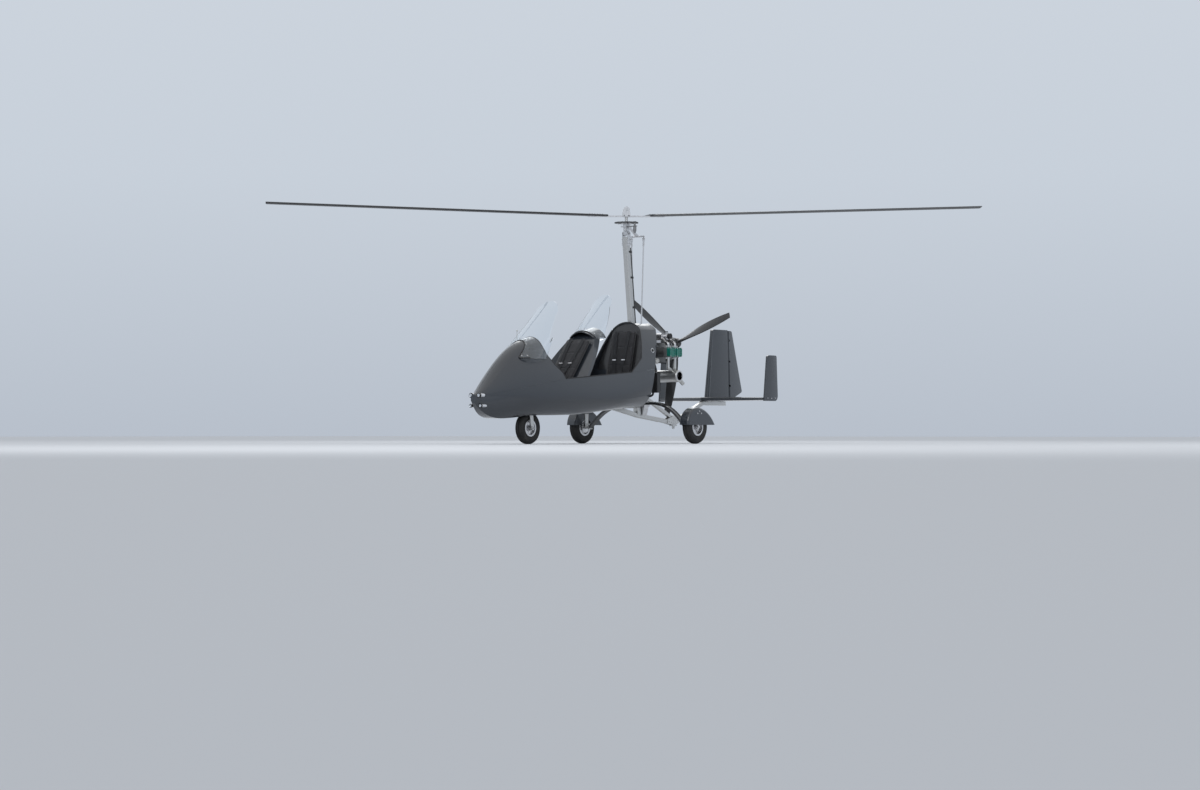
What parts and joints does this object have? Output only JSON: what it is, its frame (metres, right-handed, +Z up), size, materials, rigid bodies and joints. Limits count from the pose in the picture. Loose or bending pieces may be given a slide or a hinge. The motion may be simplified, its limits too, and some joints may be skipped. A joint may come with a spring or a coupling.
{
  "type": "two-seat open gyrocopter",
  "caption": "Open tandem gyrocopter with teetering rotor, pusher propeller, swept nose pod and wheeled bow gear.",
  "frame": {"origin": "on the ground, straight below the rotor shaft", "axes": "+X to port, +Y aft, +Z up along the rotor shaft"},
  "size_m": [6.4188, 5.716, 2.8114],
  "materials": {
    "body_gloss": "gloss anthracite",
    "composite_black": "satin black composite",
    "blade_black": "satin black",
    "stainless": "brushed",
    "alloy": "satin",
    "dark_steel": "satin",
    "cast_alloy": "cast",
    "cover_green": "gloss teal green",
    "clear_screen": "clear",
    "tyre": "rubber",
    "seat_cloth": "padded",
    "lamp": "lamp lens",
    "black_plastic": "satin"
  },
  "bodies": {
    "airframe": {"hull_tub": "body_gloss", "nose_hood": "body_gloss", "rear_deck": "body_gloss", "fuel_cap": "alloy", "yaw_probe": "stainless", "seat_divider": "body_gloss", "rear_bulkhead": "composite_black", "front_windscreen": "clear_screen", "rear_windscreen": "clear_screen", "instrument_panel": "black_plastic", "seat_pans": "composite_black", "seat_front": "seat_cloth", "seat_rear": "seat_cloth", "nose_lamps": "lamp", "control_sticks": "black_plastic", "mast": "stainless", "mast_cheeks": "alloy", "drive_cable": "black_plastic", "keel_front": "stainless", "keel_brace": "stainless", "tail_tube": "stainless", "joint_gussets": "stainless", "gear_bow": "composite_black", "bow_clamp": "alloy", "main_axles": "stainless", "fenders": "body_gloss", "engine_block": "cast_alloy", "cylinders": "cast_alloy", "rocker_covers": "cover_green", "intake": "alloy", "exhaust": "stainless", "engine_mount": "dark_steel", "radiator": "dark_steel", "stabilizer": "body_gloss", "winglets": "body_gloss", "fin": "body_gloss", "nose_bearing": "dark_steel"},
    "nose_leg": {"nose_fork": "stainless"},
    "nose_wheel": {"nose_tyre": "tyre", "nose_rim": "alloy"},
    "port_wheel": {"port_tyre": "tyre", "port_rim": "alloy"},
    "starboard_wheel": {"starboard_tyre": "tyre", "starboard_rim": "alloy"},
    "rudder": {"rudder": "body_gloss"},
    "propeller": {"propeller": "composite_black", "prop_shaft": "stainless"},
    "gimbal": {"gimbal_block": "alloy"},
    "rotor_head": {"rotor_bridge": "alloy"},
    "port_eye": {"port_rod_eye": "stainless"},
    "port_rod": {"port_push_rod": "alloy"},
    "starboard_eye": {"starboard_rod_eye": "stainless"},
    "starboard_rod": {"starboard_push_rod": "alloy"},
    "rotor_shaft": {"rotor_shaft": "stainless", "ring_gear": "dark_steel"},
    "rotor": {"hub_bar": "alloy", "rotor_blades": "blade_black"}
  },
  "joints": [
    {"name": "nose_steer", "type": "hinge", "parent": "airframe", "child": "nose_leg", "pos_m": [0, -1.82, 0.4], "axis": [0, 0, 1], "range_deg": [-25, 25]},
    {"name": "nose_wheel_spin", "type": "hinge", "parent": "nose_leg", "child": "nose_wheel", "pos_m": [0, -1.79, 0.18], "axis": [1, 0, 0], "continuous": true},
    {"name": "port_wheel_spin", "type": "hinge", "parent": "airframe", "child": "port_wheel", "pos_m": [0.84, 0.2105, 0.195], "axis": [1, 0, 0], "continuous": true},
    {"name": "starboard_wheel_spin", "type": "hinge", "parent": "airframe", "child": "starboard_wheel", "pos_m": [-0.84, 0.2105, 0.195], "axis": [1, 0, 0], "continuous": true},
    {"name": "rudder_turn", "type": "hinge", "parent": "airframe", "child": "rudder", "pos_m": [0, 2.04, 0.9], "axis": [0, 0, 1], "range_deg": [-25, 25]},
    {"name": "prop_spin", "type": "hinge", "parent": "airframe", "child": "propeller", "pos_m": [0, 0.955, 1.205], "axis": [0, 1, 0], "continuous": true},
    {"name": "head_pitch", "type": "hinge", "parent": "airframe", "child": "gimbal", "pos_m": [0, 0, 2.462], "axis": [-1, 0, 0], "range_deg": [0, 18]},
    {"name": "head_roll", "type": "hinge", "parent": "gimbal", "child": "rotor_head", "pos_m": [0, 0, 2.506], "axis": [0, 1, 0], "range_deg": [-8, 8]},
    {"name": "rotor_spin", "type": "hinge", "parent": "rotor_head", "child": "rotor_shaft", "pos_m": [0, 0, 2.6], "axis": [0, 0, 1], "continuous": true},
    {"name": "rotor_teeter", "type": "hinge", "parent": "rotor_shaft", "child": "rotor", "pos_m": [0, 0, 2.742], "axis": [-0.6691, 0.7431, 0], "range_deg": [-8, 8]},
    {"name": "port_eye_turn", "type": "hinge", "parent": "rotor_head", "child": "port_eye", "pos_m": [0.09, 0.214, 2.44], "axis": [0, 1, 0], "range_deg": [-8, 8]},
    {"name": "port_rod_turn", "type": "hinge", "parent": "port_eye", "child": "port_rod", "pos_m": [0.09, 0.214, 2.416], "axis": [-1, 0, 0], "range_deg": [-18, 0]},
    {"name": "starboard_eye_turn", "type": "hinge", "parent": "rotor_head", "child": "starboard_eye", "pos_m": [-0.09, 0.214, 2.44], "axis": [0, 1, 0], "range_deg": [-8, 8]},
    {"name": "starboard_rod_turn", "type": "hinge", "parent": "starboard_eye", "child": "starboard_rod", "pos_m": [-0.09, 0.214, 2.416], "axis": [-1, 0, 0], "range_deg": [-18, 0]}
  ],
  "couplings": [
    {"joint": "rudder_turn", "follows": "nose_steer", "ratio": -1},
    {"joint": "port_eye_turn", "follows": "head_roll", "ratio": -0.99},
    {"joint": "port_rod_turn", "follows": "head_pitch", "ratio": -0.9},
    {"joint": "starboard_eye_turn", "follows": "head_roll", "ratio": -0.99},
    {"joint": "starboard_rod_turn", "follows": "head_pitch", "ratio": -0.9}
  ]
}
